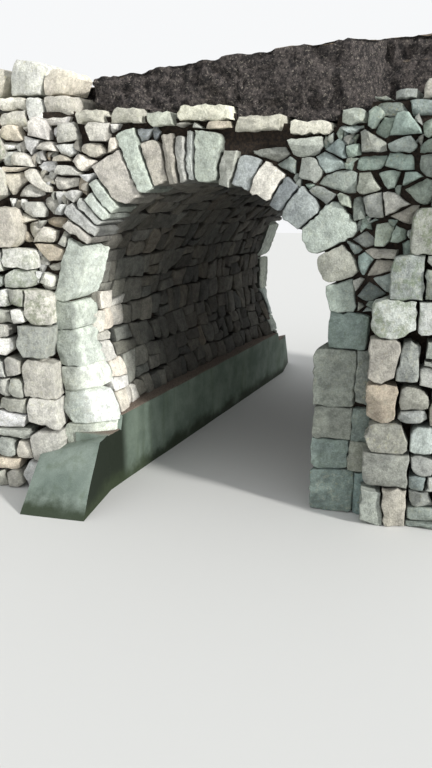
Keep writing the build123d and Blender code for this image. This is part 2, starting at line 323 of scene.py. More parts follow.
def courses(rng, left, right, low, high, height, length, wave=0.0):
    """Rough courses of blocks between two heights, with wavy beds and staggered upright joints."""
    count = max(1, round((high - low) / height))
    beds = np.linspace(low, high, count + 1)
    beds[1:-1] += rng.uniform(-bed_shake, bed_shake, count - 1) * height
    phases = rng.uniform(0, 2 * math.pi, (count + 1, 2))

    def bed(index, x):
        if index in (0, count):
            return beds[index]
        swing = math.sin(2.1 * x + phases[index, 0]) + 0.6 * math.sin(5.3 * x + phases[index, 1])
        return beds[index] + wave * swing

    blocks = []
    for index in range(count):
        x = left
        lean = 0.0
        while x < right - 0.001:
            step = length * rng.uniform(*block_lengths)
            end = right if x + 1.5 * step > right else x + step
            next_lean = 0.0 if end == right else rng.uniform(-joint_lean, joint_lean)
            blocks.append(np.array([
                (x - lean, bed(index, x)), (end - next_lean, bed(index, end)),
                (end + next_lean, bed(index + 1, end)), (x + lean, bed(index + 1, x)),
            ]))
            x = end
            lean = next_lean
    return blocks


def scattered(rng, left, right, low, high, stone_size):
    """Irregular blocks that fill a wall: cells round the shaken points of a brick pattern."""
    columns = max(1, round((right - left) / stone_size[0]))
    rows = max(1, round((high - low) / stone_size[1]))
    scale = np.array([(right - left) / columns, (high - low) / rows])
    centres = np.array([
        (column + 0.5 + 0.5 * (row % 2), row + 0.5)
        for row in range(-1, rows + 1) for column in range(-2, columns + 1)
    ])
    centres = centres[rng.random(len(centres)) > lost_share]
    centres = centres + rng.uniform(-cell_shake, cell_shake, centres.shape)
    blocks = []
    for centre in centres:
        block = rectangle(0, columns, 0, rows)
        distance = np.linalg.norm(centres - centre, axis=1)
        for other in centres[(distance > tiny) & (distance < 3.5)]:
            block = cut(block, (centre + other) / 2, other - centre)
        if area(block) > tiny:
            blocks.append(block * scale + (left, low))
    return blocks


def split(rng, polygon, target, flatness):
    """Break a block into stones by slanted cuts until they are about the target area."""
    if area(polygon) < target * rng.uniform(0.75, 1.9):
        return [polygon]
    width, height = np.ptp(polygon, axis=0)
    if width > height * flatness * rng.uniform(0.7, 1.3):
        slant = rng.uniform(-0.28, 0.28)
        normal = np.array([math.cos(slant), math.sin(slant)])
        shift = np.array([width * rng.uniform(-0.17, 0.17), 0.0])
    else:
        slant = rng.uniform(-0.16, 0.16)
        normal = np.array([math.sin(slant), math.cos(slant)])
        shift = np.array([0.0, height * rng.uniform(-0.2, 0.2)])
    point = polygon.mean(axis=0) + shift
    pieces = []
    for part in (cut(polygon, point, normal), cut(polygon, point, -normal)):
        if area(part) > least_part:
            pieces += split(rng, part, target, flatness)
    return pieces


def rubble(rng, blocks, target, flatness, joint, broken, obstacles=()):
    """Stones from blocks, kept clear of obstacles, with open joints and knocked corners."""
    stones = []
    for block in blocks:
        for stone in split(rng, block, target, flatness):
            for obstacle in obstacles:
                stone = clear_of(stone, obstacle, fitting_gap)
            stone = inset(stone, rng, *joint)
            if area(stone) > least_stone and np.ptp(stone, axis=0).min() > least_width:
                stones.append(chipped(stone, rng, broken, 0.24 * math.sqrt(area(stone))))
    return stones


def gap_stones(rng, stones, left, right, low, high, inside):
    """Small pinning stones for the open places that are left between the large ones."""
    cell = 0.008
    least_reach = 5                 # cells from the middle of an open place to its edge
    overfill = 1.15                 # pinning stones reach a little under their neighbours
    xs = np.arange(left, right, cell)
    zs = np.arange(low, high, cell)
    grid_x, grid_z = np.meshgrid(xs, zs, indexing="ij")
    free = inside(grid_x, grid_z)

    def cover(polygon):
        first = np.maximum(((polygon.min(axis=0) - (left, low)) / cell).astype(int) - 1, 0)
        last = np.maximum(((polygon.max(axis=0) - (left, low)) / cell).astype(int) + 2, 0)
        window = (slice(first[0], last[0]), slice(first[1], last[1]))
        within = np.ones(free[window].shape, bool)
        for (x, z), (normal_x, normal_z) in zip(polygon, edge_normals(polygon)):
            within &= (grid_x[window] - x) * normal_x + (grid_z[window] - z) * normal_z <= 0
        free[window] &= ~within

    for polygon in stones:
        cover(polygon)
    layer = free.copy()
    reach = np.zeros(free.shape, int)
    while layer.any():
        reach += layer
        grown = layer.copy()
        for axis, shift in itertools.product((0, 1), (1, -1)):
            grown &= np.roll(layer, shift, axis=axis)
        grown[0, :] = grown[-1, :] = False
        grown[:, 0] = grown[:, -1] = False
        layer = grown
    order = np.argwhere(reach >= least_reach)
    order = order[np.lexsort((rng.random(len(order)), -reach[tuple(order.T)]))]
    small = []
    for i, j in order:
        if not free[i, j]:
            continue
        corners = rng.integers(4, 7)
        even = np.linspace(0, 2 * math.pi, corners, False)
        turns = np.sort(0.35 * rng.uniform(0, 2 * math.pi, corners) + 0.65 * even)
        squash = rng.uniform(0.75, 1.25)
        shape = np.stack([np.cos(turns) * squash, np.sin(turns) / squash], axis=1)
        polygon = shape * overfill * (reach[i, j] * cell - 0.001) + (xs[i], zs[j])
        if area(polygon) > least_pinning:
            small.append(polygon)
            cover(polygon)
            free[max(i - 1, 0):i + 2, max(j - 1, 0):j + 2] = False
    return small


# Surfaces turn wall coordinates into places; w points out of the masonry
def skewed(x, y, z):
    """Places whose x is measured square from the channel's centre line."""
    x, y, z = np.broadcast_arrays(x, y, z)
    return np.stack([x + y * skew_slope, y, z], axis=1)


def upright(wall, sign):
    return lambda u, v, w: skewed(u, wall + sign * w, v)


def square_to(wall, sign):
    """Face of a buttress, whose sides run square to the wall."""
    nose = wall + sign * buttress_projection
    return lambda u, v, w: skewed(u, wall, v) + np.stack([0 * w, nose - wall + sign * w, 0 * w], axis=1)


def side_face(x, sign):
    return lambda u, v, w: skewed(x + sign * w, u, v)


def swell(y, z):
    """How far the left side wall stands out over the ledge, by the distance from the nearer face."""
    depth = np.minimum(y - front, rear - y)
    by_entrance = np.clip(1 - (depth - splay_depth) / entrance_length, 0, 1)
    low = np.clip(1 - (z - ledge_height) / swell_height, 0, 1)
    return low * np.clip(depth / splay_depth, 0, 1) * (foot_swell + entrance_swell * by_entrance)


def splayed(wall, sign):
    """Face wall whose corner stones follow the swollen foot of the left side wall."""
    return lambda u, v, w: skewed(u + swell(wall + sign * w, v), wall + sign * w, v)


def lining(u, v, w):
    """Inside of the arch: v starts at the left springing, runs over the crown, and is negative on
    the left side wall."""
    angle = start_angle + np.clip(v, 0, vault_length) / arch_radius
    below = np.maximum(-v, 0) + np.maximum(v - vault_length, 0)
    z = arch_centre + (arch_radius - w) * np.sin(angle) - below
    return skewed(-(arch_radius - w) * np.cos(angle) + swell(u, z) * (v < 0), u, z)


def plinth_bed(u, v, w):
    return skewed(v, u, plinth_height + w)


def lumps(points, size):
    """Smooth random values from -1 to 1, with bumps about one size apart."""
    cell = points / size
    base = np.floor(cell).astype(np.int64)
    part = cell - base
    part = part * part * (3 - 2 * part)
    total = np.zeros(len(points))
    for corner in itertools.product((0, 1), repeat=3):
        key = base + corner
        mixed_key = (key[:, 0] * 73856093) ^ (key[:, 1] * 19349663) ^ (key[:, 2] * 83492791)
        mixed_key = (mixed_key ^ (mixed_key >> 13)) * 1274126177 & 0x7FFFFFFF
        mixed_key = (mixed_key ^ (mixed_key >> 15)) & 0xFFFF
        weight = np.prod(np.where(corner, part, 1 - part), axis=1)
        total += weight * (mixed_key / 32767.5 - 1)
    return total


def shaken(points, size, amount):
    """Points moved a little by lumps in all three directions."""
    moves = [lumps(points + 7.3 * (axis + 1), size) for axis in range(3)]
    return points + amount * np.stack(moves, axis=1)


def within_box(points):
    """Keep points a millimetre inside the box of the whole bridge."""
    low, high = (np.array(corner) for corner in cad_box)
    low = low + (0.001, 0.001, 0.0)
    return np.clip(points, low, high - 0.001)


def add_piece(name, points, faces, material, slot, nodes, sharp, attributes=()):
    """Smooth mesh with sharp arrises that rides on the bridge and stands for its nodes."""
    mesh = bpy.data.meshes.new(name)
    mesh.from_pydata(within_box(points).tolist(), [], faces)
    shape = bmesh.new()
    shape.from_mesh(mesh)
    bmesh.ops.recalc_face_normals(shape, faces=shape.faces)
    shape.to_mesh(mesh)
    shape.free()
    for label, values in attributes:
        layer = mesh.attributes.new(label, "FLOAT_COLOR", "POINT")
        data = np.hstack([values, np.ones((len(values), 1))])
        layer.data.foreach_set("color", data.astype(np.float32).ravel())
    mesh.polygons.foreach_set("use_smooth", [True] * len(mesh.polygons))
    mesh.set_sharp_from_angle(angle=math.radians(sharp))
    mesh.materials.append(material)
    piece = bpy.data.objects.new(name, mesh)
    bpy.context.collection.objects.link(piece)
    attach(piece, "root")
    if nodes:
        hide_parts(*nodes)


# Meshes of many stones, with a tint and a growth (lichen, moss, damp) for each point
class Batch:
    """Stones that share one piece."""

    def __init__(self):
        self.points = []
        self.faces = []
        self.tints = []
        self.growths = []
        self.count = 0

    def add(self, points, faces, tints, growths):
        self.points.append(points)
        self.faces += [tuple(i + self.count for i in face) for face in faces]
        self.tints.append(tints)
        self.growths.append(growths)
        self.count += len(points)

    def build(self, name, slot, nodes):
        points = np.concatenate(self.points)
        for spacing, height in stone_lumps:
            points = shaken(points, spacing, height)
        looks = [("tint", np.concatenate(self.tints)), ("growth", np.concatenate(self.growths))]
        add_piece(name, points, self.faces, stone, slot, nodes, stone_arris_angle, looks)


def roughened(rng, outline, spacing, wear):
    """Points along a closed outline, with worn corners and uneven edges."""
    normals = edge_normals(outline)
    points = []
    for i, start in enumerate(outline):
        along = outline[(i + 1) % len(outline)] - start
        steps = max(1, round(float(np.linalg.norm(along)) / spacing))
        corner_normal = normals[i] + normals[i - 1]
        points.append(start - corner_normal * rng.uniform(0.1, 0.8) * wear)
        for step in range(1, steps):
            push = rng.normal(0, wear) * 0.6 + wear * 0.2
            points.append(start + along * step / steps - normals[i] * push)
    return np.array(points)


def broken_face(rng, points, centre, half, relief, tilt):
    """Height of a broken face: nearly flat or leaning, with its sides struck off by tilted planes."""
    reach = (points - centre) / half
    heights = np.full(len(points), 1.0)
    count = int(rng.integers(3, 6))
    turn = rng.uniform(0, 2 * math.pi)
    for k in range(count):
        angle = turn + 2 * math.pi * k / count + rng.normal(0, 0.3)
        across = reach @ np.array([math.cos(angle), math.sin(angle)])
        start = rng.uniform(0.05, 0.75)
        steepness = rng.uniform(0.6, 3.0)
        heights = np.minimum(heights, 1 - steepness * np.maximum(across - start, 0))
    return relief * (heights - 1 + reach @ rng.normal(0, tilt, 2))


def add_stone(batch, rng, surface, outline, depth, tint, growth, face=0.0, relief=0.016, spacing=0.05,
              wear=0.006, tilt=0.25, levels=(), side_shade=0.97, back=False):
    """One stone: its broken front face, worn arris and sides; side levels keep long sides uneven,
    and have their own painted light or shade, a factor on the tint. The arris ring and the back are
    painted darker as shade."""
    rim = roughened(rng, outline, spacing, wear)
    centre = rim.mean(axis=0)
    half = np.maximum(np.ptp(rim, axis=0) / 2, 0.015)
    arris = min(worn_arris, 0.14 * half.min()) * rng.uniform(0.7, 1.3)
    normals = edge_normals(rim)
    corner_normals = normals + np.roll(normals, 1, axis=0)
    corner_normals /= np.maximum(np.linalg.norm(corner_normals, axis=1, keepdims=True), tiny)
    inner = rim - corner_normals * arris
    plan = [centre[None, :], centre + (inner - centre) * 0.42, centre + (inner - centre) * 0.8, inner, rim]
    samples = np.concatenate(plan)
    heights = face + broken_face(rng, samples, centre, half, relief, tilt)
    lowest = face - deepest_face * relief
    heights = np.clip(heights, lowest, face + relief)
    starts = np.cumsum([0] + [len(ring) for ring in plan])
    height_rings = [heights[a:b] for a, b in zip(starts[:-1], starts[1:])]
    height_rings[-1] = height_rings[-1] - arris * 0.8
    # painted shade: the arris ring is a little darker
    shades = [1.0, 1.0, 1.0, 1.0, 0.9]
    for level in levels:
        plan.append(rim + corner_normals * rng.uniform(-0.004, 0.002))
        height_rings.append(np.full(len(rim), lowest - level))
        shades.append(side_shade)
    back_height = face - depth
    if back:
        plan += [rim, inner, centre + (inner - centre) * 0.5]
        height_rings += [
            np.full(len(rim), back_height + drop) for drop in (arris, 0.0, -relief * 0.4)
        ]
        height_rings.append(np.array([back_height - relief * 0.6]))
        # painted shade: the rim of the back is a little darker
        shades += [0.9, 1.0, 1.0, 1.0]
    else:
        plan.append(centre + (rim - centre) * 0.93)
        height_rings += [np.full(len(rim), back_height), np.array([back_height])]
        # painted shade: the hidden back of the stone, down in the joint, is painted much darker
        shades += [0.32, 0.3]
    plan.append(centre[None, :])
    count = len(rim)
    points = np.concatenate([
        surface(ring[:, 0], ring[:, 1], height) for ring, height in zip(plan, height_rings)
    ])
    faces = []
    ring_starts = np.cumsum([0] + [len(ring) for ring in plan]).tolist()
    for i in range(count):
        j = (i + 1) % count
        faces.append((0, ring_starts[1] + i, ring_starts[1] + j))
        for a, b in zip(ring_starts[1:-3], ring_starts[2:-2]):
            faces.append((a + i, b + i, b + j, a + j))
        faces.append((ring_starts[-2], ring_starts[-3] + j, ring_starts[-3] + i))
    strength = np.concatenate([np.full(len(ring), shade) for ring, shade in zip(plan, shades)])[:, None]
    tints = np.minimum(tint[None, :] * strength, 0.88)
    batch.add(points, faces, tints, np.tile(np.array(growth, float), (len(points), 1)))


def pick(rng, *palettes):
    """A tint from the palettes, a little lighter or darker and warmer or cooler."""
    shades = [shade for shades_of_one in palettes for shade in shades_of_one]
    tint = shades[int(rng.integers(len(shades)))]
    warmth = rng.normal(0, 0.025)
    return np.clip(tint * rng.uniform(0.84, 1.12) * np.array([1 + warmth, 1, 1 - warmth]), 0.01, 0.88)


# Materials
class Shading:
    """A material, with a short call for each kind of node that it is made of."""

    def __init__(self, name):
        self.material = bpy.data.materials.new(name)
        self.material.use_nodes = True
        self.tree = self.material.node_tree
        self.shader = self.tree.nodes["Principled BSDF"]
        self.coordinates = self.tree.nodes.new("ShaderNodeTexCoord").outputs["Object"]

    def fill(self, socket, value):
        """Link a socket to a node's output, or write a number, vector or colour into it."""
        if isinstance(value, bpy.types.NodeSocket):
            self.tree.links.new(value, socket)
        elif socket.type == "RGBA":
            socket.default_value = (*value, 1.0)
        else:
            socket.default_value = value

    def node(self, kind, **values):
        """A new node; each value goes into the input of its name, where _ stands for a space."""
        node = self.tree.nodes.new(f"ShaderNode{kind}")
        for label, value in values.items():
            self.fill(node.inputs[label.replace("_", " ")], value)
        return node

    def finish(self, **values):
        """Fill inputs of the surface shader and give the material back."""
        for label, value in values.items():
            self.fill(self.shader.inputs[label.replace("_", " ")], value)
        return self.material

    def noise(self, scale, detail, rough, stretch=None):
        source = self.coordinates
        if stretch:
            source = self.node("Mapping", Vector=source, Scale=stretch).outputs["Vector"]
        node = self.node("TexNoise", Vector=source, Scale=scale, Detail=detail, Roughness=rough)
        return node.outputs["Fac"]

    def ramp(self, value, low, high):
        node = self.node("MapRange", Value=value, From_Min=low, From_Max=high)
        node.interpolation_type = "SMOOTHSTEP"
        return node.outputs["Result"]

    def maths(self, operation, first, second):
        node = self.node("Math")
        node.operation = operation
        self.fill(node.inputs[0], first)
        self.fill(node.inputs[1], second)
        return node.outputs[0]

    def times(self, *factors):
        product = factors[0]
        for factor in factors[1:]:
            product = self.maths("MULTIPLY", product, factor)
        return product

    def less(self, first, second):
        return self.maths("SUBTRACT", first, second)

    def mix(self, share, first, second, blend="MIX", clamp=False):
        node = self.node("Mix")
        node.data_type = "RGBA"
        node.blend_type = blend
        node.clamp_result = clamp
        for index, value in ((0, share), (6, first), (7, second)):
            self.fill(node.inputs[index], value)
        return node.outputs[2]

    def shaded(self, base, share, dark, light):
        """The base colour times a shade between dark and light."""
        return self.mix(1.0, base, self.mix(share, dark, light), "MULTIPLY")

    def bump(self, height, distance, strength, after=None):
        node = self.node("Bump", Height=height, Distance=distance, Strength=strength)
        if after:
            self.fill(node.inputs["Normal"], after)
        return node.outputs["Normal"]

    def attribute(self, label):
        node = self.node("Attribute")
        node.attribute_name = label
        return node.outputs["Color"]

    def geometry(self, label):
        """The three parts of the position or of the normal."""
        return self.parts(self.node("NewGeometry").outputs[label])

    def parts(self, vector):
        return list(self.node("SeparateXYZ", Vector=vector).outputs)


def stone_material():
    """Stone of any tint: cloudy, stained and flecked, with lichen, moss and damp where they grow."""
    s = Shading("weathered_stone")
    lichen, moss, damp = s.parts(s.attribute("growth"))
    clouds = s.noise(5.0, 6.0, 0.65)
    grain = s.noise(70.0, 5.0, 0.7)
    pores = s.noise(230.0, 3.0, 0.7)
    stains = s.ramp(s.noise(15.0, 6.0, 0.75), 0.38, 0.58)
    base = s.shaded(s.attribute("tint"), s.ramp(clouds, 0.3, 0.7), (0.85, 0.85, 0.86), (1.15, 1.15, 1.13))
    base = s.shaded(base, stains, (0.77, 0.77, 0.76), (1.11, 1.11, 1.1))
    base = s.shaded(base, s.ramp(grain, 0.35, 0.7), (0.8, 0.8, 0.79), (1.15, 1.15, 1.15))
    rust = s.ramp(s.noise(7.5, 5.0, 0.7), 0.58, 0.74)
    base = s.mix(s.times(rust, 0.15), base, colour("9a8468"))
    patches = s.ramp(s.noise(17.0, 6.0, 0.75), 0.5, 0.66)
    base = s.mix(s.times(patches, lichen, 0.75), base, colour("cccdb9"))
    yellow = s.ramp(s.noise(29.0, 4.0, 0.7), 0.58, 0.68)
    base = s.mix(s.times(yellow, lichen, 0.45), base, colour("c0b873"))
    tufts = s.ramp(s.noise(11.0, 7.0, 0.8), 0.46, 0.6)
    base = s.mix(s.times(tufts, moss), base, colour("54682f"))
    wet = s.mix(1.0, base, (0.34, 0.36, 0.3), "MULTIPLY")
    base = s.mix(s.times(damp, 0.75), base, wet, clamp=True)
    normal = s.bump(clouds, 0.045, 0.7)
    normal = s.bump(grain, 0.012, 0.9, normal)
    normal = s.bump(pores, 0.002, 0.6, normal)
    rough = s.less(0.93, s.times(damp, 0.3))
    return s.finish(Base_Color=base, Roughness=rough, Specular_IOR_Level=0.3, Normal=normal)


def joint_material():
    """Dark soil and rubble dust that fills the depth of the joints."""
    s = Shading("joint_soil")
    dust = s.noise(35.0, 6.0, 0.7)
    base = s.mix(s.ramp(dust, 0.35, 0.7), colour("17120e"), colour("3d3126"))
    return s.finish(Base_Color=base, Roughness=0.96, Normal=s.bump(dust, 0.02, 0.8))


def concrete_material():
    """Concrete under green algae, dark where it stays wet near the water; on the channel side a painted shade
    inside the arch, and a painted shadow by the entrance.
    """
    s = Shading("algae_concrete")
    _, along_y, height = s.geometry("Position")
    facing_x, _, facing_z = s.geometry("Normal")
    clouds = s.noise(3.0, 6.0, 0.6)
    streaks = s.noise(9.0, 5.0, 0.6, (1.0, 1.0, 0.09))
    speck = s.noise(90.0, 4.0, 0.7)
    base = s.mix(s.ramp(clouds, 0.3, 0.7), colour("738077"), colour("939f95"))
    base = s.mix(s.times(s.ramp(streaks, 0.5, 0.75), 0.45), base, colour("5f6c55"))
    channel_side = s.ramp(facing_x, 0.5, 0.8)
    inside = s.ramp(along_y, front - 0.25, front + 0.3)
    far_end = s.ramp(along_y, rear - 1.6, rear - 0.9)
    # painted shade on the channel side inside the arch, lighter again towards the rear end
    painted_shade_share = s.less(inside, s.times(far_end, 0.6))
    painted_shade_colour = s.mix(1.0, base, (0.88, 0.92, 0.86), "MULTIPLY")
    base = s.mix(s.times(painted_shade_share, channel_side), base, painted_shade_colour)
    # painted shadow: the channel side is painted nearly black near the front entrance
    for reach, darkness in ((0.75, 0.5), (0.36, 0.97)):
        entrance_shadow = s.less(1.0, s.ramp(along_y, front + reach - 0.15, front + reach))
        base = s.mix(s.times(entrance_shadow, channel_side, darkness), base, colour("1c2219"))
    low = s.maths("ADD", height, s.times(s.less(clouds, 0.5), 0.35))
    wet = s.less(1.0, s.ramp(low, 0.03, 0.2))
    base = s.mix(s.times(wet, 0.9), base, colour("2f3826"))
    silt = s.times(s.ramp(facing_z, 0.75, 0.95), s.ramp(along_y, front - 0.05, front + 0.1), 0.9)
    brown = s.mix(s.ramp(speck, 0.35, 0.65), colour("5a4d43"), colour("8b7b70"))
    base = s.mix(silt, base, brown)
    base = s.shaded(base, s.ramp(speck, 0.3, 0.7), (0.86, 0.86, 0.86), (1.08, 1.08, 1.08))
    rough = s.less(0.88, s.times(wet, 0.3))
    normal = s.bump(speck, 0.003, 0.5, s.bump(clouds, 0.03, 0.3))
    return s.finish(Base_Color=base, Roughness=rough, Specular_IOR_Level=0.15, Normal=normal)


def earth_material():
    """Dark earth on the banks, paler where it is trodden on top."""
    s = Shading("packed_earth")
    clods = s.noise(24.0, 9.0, 0.8)
    fine = s.noise(90.0, 5.0, 0.7)
    grit = s.ramp(s.noise(60.0, 3.0, 0.6), 0.6, 0.66)
    bank = s.mix(s.ramp(clods, 0.42, 0.64), colour("1e1b1b"), colour("69615d"))
    track = s.mix(s.ramp(clods, 0.3, 0.7), colour("5b4c3d"), colour("86765f"))
    base = s.mix(s.ramp(s.geometry("Normal")[2], 0.55, 0.9), bank, track)
    base = s.mix(s.times(grit, 0.6), base, colour("a79f92"))
    base = s.shaded(base, s.ramp(fine, 0.3, 0.7), (0.7, 0.7, 0.7), (1.25, 1.25, 1.25))
    normal = s.bump(fine, 0.006, 0.8, s.bump(clods, 0.03, 0.9))
    return s.finish(Base_Color=base, Roughness=0.95, Normal=normal)


stone = stone_material()
soil = joint_material()
concrete = concrete_material()
earth = earth_material()


# Lofted pieces: rings of equal count, closed at both ends
def loft(name, rings, material, slot, nodes, size, amount, sharp=40):
    """Closed piece through the rings, made uneven by lumps of a size and amount."""
    count = len(rings[0])
    points = shaken(np.concatenate(rings), size, amount)
    faces = [
        (a * count + i, a * count + (i + 1) % count, (a + 1) * count + (i + 1) % count, (a + 1) * count + i)
        for a in range(len(rings) - 1) for i in range(count)
    ]
    faces += [tuple(range(count))[::-1], tuple(range((len(rings) - 1) * count, len(rings) * count))]
    add_piece(name, points, faces, material, slot, nodes, sharp)


def along(corners, spacing):
    """Evenly spaced points round a closed outline."""
    points = []
    for start, end in zip(corners, corners[1:] + corners[:1]):
        start = np.array(start, float)
        end = np.array(end, float)
        steps = max(1, round(float(np.linalg.norm(end - start)) / spacing))
        points += [start + (end - start) * i / steps for i in range(steps)]
    return np.array(points)


def slab_places():
    """For each slab over the crown: its two ends and the height of its bed."""
    free_length = left_parapet_end + right_parapet_end - slab_gap * (len(slab_course) + 1)
    scale = free_length / sum(length for length, drop in slab_course)
    places = []
    x = -left_parapet_end + slab_gap
    for length, drop in slab_course:
        places.append((x, x + length * scale, spandrel_top - drop))
        x += length * scale + slab_gap
    return places


def make_core():
    """Dark mass behind all joints: the bridge's elevation, drawn in on every side, round the arch
    and up into the slabs."""
    arc_points = 25
    slab_cover = 0.005
    side = arch_half_span + core_depth
    outer = half_width - core_depth
    top = slab_top - slab_cover
    radius = arch_radius + core_depth
    arc = [
        (-radius * math.cos(angle), arch_centre + radius * math.sin(angle))
        for angle in np.linspace(start_angle, end_angle, arc_points)
    ]
    crest = [(outer, top), (right_parapet_end, top)]
    for x_low, x_high, bed in reversed(slab_places()):
        crest += [(x_high, bed + slab_thickness / 2), (x_low, bed + slab_thickness / 2)]
    crest += [(-left_parapet_end, top), (-outer, top)]
    outline = np.array([(-outer, 0), (-side, 0), *arc, (side, 0), (outer, 0), *crest])
    rings = [skewed(outline[:, 0], y, outline[:, 1]) for y in (front + core_depth, rear - core_depth)]
    nodes = ["left_haunch_backing", "right_haunch_backing", "crown_fill"]
    loft("wall_core", rings, soil, "wall_rubble", nodes, size=1.0, amount=0.0)


def ring_outlines():
    """Outline of each ring stone in the plane of the wall, from the seat of its solid, and how far
    the stone stands proud."""
    seat_tolerance = 0.0005
    outlines = []
    for number in range(1, ring_stone_count + 1):
        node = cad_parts[f"front_voussoir_{number:02d}"]
        corners = {
            (round(v.co.x - v.co.y * skew_slope, 5), round(v.co.z, 5))
            for v in node.data.vertices if v.co.y > fill_front - seat_tolerance
        }
        corners = np.array(sorted(corners))
        centre = corners.mean(axis=0)
        turns = np.arctan2(corners[:, 1] - centre[1], corners[:, 0] - centre[0])
        outlines.append((corners[np.argsort(turns)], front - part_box(node.name)[0].y))
    return outlines


ring = ring_outlines()
ring_polygons = [outline for outline, proud in ring]

# What the photograph shows of each ring stone from left to right: tint, lichen
ring_looks = [
    ("c3cac2", 0.3), ("cbc7c0", 0.1), ("c4c5c2", 0.0), ("cbcdc9", 0.1), ("d6ddd5", 0.2), ("d2dad1", 0.2),
    ("cdc8c0", 0.2), ("c8d1c7", 0.2), ("bfbab0", 0.2), ("bbb6ac", 0.1), ("bcbcb7", 0.1), ("c0c4c0", 0.1),
    # painted sunlight: the sixteenth stone's near-white tint is a patch of sun
    ("bdc5bb", 0.3), ("c4c6bd", 0.2), ("b5bbbc", 0.1), ("efebe1", 0.0), ("8d9396", 0.0), ("abb2b2", 0.1),
    ("b3bcb5", 0.2), ("b6b7ad", 0.2), ("a9b4ac", 0.3),
]


def make_ring(end, wall, sign, seed):
    """Ring stones of one face: a piece for each at the front, and one piece for all at the rear."""
    springer_side = 1.4             # painted light and shade on the sides inside the arch: the springer's is painted sunlit, the others' painted in shade
    other_side = 0.32
    rng = np.random.default_rng(seed)
    batch = Batch()
    for number, ((outline, proud), (tint, lichen)) in enumerate(zip(ring, ring_looks), start=1):
        shape = inset(outline, rng, least=-0.002, most=0.004)
        shape = chipped(shape, rng, chance=0.6, size=0.15 * math.sqrt(area(shape)))
        add_stone(batch, rng, upright(wall, sign), shape, face_wall_depth - 0.005,
                  colour(tint) * rng.uniform(0.94, 1.06), (lichen, 0.05, 0.0), face=proud - 0.004,
                  side_shade=springer_side if number == 1 else other_side, **ring_finish)
        if end == "front":
            batch.build(f"front_ring_stone_{number:02d}", "ring_stone", [f"front_voussoir_{number:02d}"])
            batch = Batch()
    if end == "rear":
        batch.build("rear_ring_stones", "ring_stone", ["rear_arch_ring"])


def buttress_tiers(inner_edge):
    """Tiers of a buttress from the ground up: inner edge, bottom and top."""
    tiers = []
    x = inner_edge
    low = 0.0
    top = springing + shoulder_rise
    while top + shoulder_step_height < buttress_top:
        tiers.append((x, low, top))
        x += shoulder_step_width
        low = top
        top += shoulder_step_height
    tiers.append((x, low, buttress_top))
    return tiers


def worn_shoulder(polygon, x, top):
    """Round the upper inner corner of a shoulder stone."""
    corner = np.array([x, top])
    for reach, turn in ((0.03, 22.5), (0.028, 67.5)):
        normal = np.array([-math.cos(math.radians(turn)), math.sin(math.radians(turn))])
        polygon = cut(polygon, corner - normal * reach, normal)
    return polygon


def make_buttress(end, side, wall, sign, seed):
    """Large corner stones at the inner edge of each tier, with rubble beside them."""
    course_height = 0.34
    course_shake = 0.06
    quoin_width = (0.24, 0.44)
    damp_height = 0.5
    moss_height = 1.8
    rng = np.random.default_rng(seed)
    inner_edge = left_buttress_edge if side == "left" else right_buttress_edge
    surface = square_to(wall, sign)
    batch = Batch()
    depth = buttress_projection + 0.07
    # painted light and shade: sunlit tints on the left buttress, shaded ones on the right
    palettes = (sunny, pale, pale) if side == "left" else (shaded, shaded, mixed)
    for x, low, top in buttress_tiers(inner_edge):
        count = max(1, round((top - low) / course_height))
        heights = np.linspace(low, top, count + 1)
        heights[1:-1] += rng.uniform(-course_shake, course_shake, count - 1)
        for bottom, head in zip(heights[:-1], heights[1:]):
            inner = x + rng.uniform(*quoin_width)
            stones = rubble(rng, [rectangle(x, inner, bottom, head)], **quoin_bond)
            rest = courses(rng, inner, half_width, bottom, head, height=head - bottom, length=0.6)
            stones += rubble(rng, rest, **buttress_bond)
            for outline in stones:
                if head == top:
                    outline = worn_shoulder(outline, x, top)
                if area(outline) < least_pinning:
                    continue
                height = outline[:, 1].mean()
                damp = 0.5 * max(0.0, 1 - height / damp_height)
                growth = (rng.uniform(0, 0.6), rng.uniform(0, 0.6) * (height > moss_height), damp)
                at_edge = outline[:, 0].min() < x + 0.03
                add_stone(batch, rng, surface, mirrored(outline) if side == "left" else outline, depth,
                          pick(rng, *palettes), growth, face=rng.uniform(-0.045, -0.014),
                          levels=(0.04, 0.1) if at_edge else (), **buttress_finish)
    name = f"{end}_{side}_buttress"
    batch.build(f"{name}_stones", "wall_rubble", [name])


def face_growth(rng, z):
    """Lichen and moss anywhere, damp near the ground."""
    return rng.uniform(0, 0.55), rng.uniform(0, 0.12), 0.6 * max(0.0, 1 - z / 0.45)


def stacked(rng, low, high, heights, last_share):
    """Bottoms and tops of stones on each other; the last one takes up what is left."""
    z = low
    while z < high - 0.05:
        step = rng.uniform(*heights)
        top = high if z + last_share * step > high else z + step
        yield z, top
        z = top


def jamb_blocks(rng):
    """Corner stones of the opening from the ground to the springing: outline and depth."""
    blocks = []
    for side, reach, low in ((-1, 0.22, apron_end_height - 0.02), (1, 0.42, plinth_height)):
        for z, top in stacked(rng, low, springing, (0.24, 0.42), 1.5):
            block = rectangle(arch_half_span, arch_half_span + reach * rng.uniform(0.8, 1.15), z, top)
            depth = quoin_depth + rng.choice([-0.03, 0.07])
            blocks.append((mirrored(block) if side < 0 else block, depth))
    for z, top in stacked(rng, 0.0, plinth_height, (0.3, 0.46), 1.4):
        middle = plinth_face + rng.uniform(0.3, 0.42)
        blocks.append((rectangle(plinth_face, middle, z, top), 0.42))
        blocks.append((rectangle(middle, right_buttress_edge + 0.06, z, top), 0.15))
    return [
        (chipped(inset(block, rng, least=0.0, most=0.002), rng, chance=0.4, size=0.03), depth)
        for block, depth in blocks
    ]


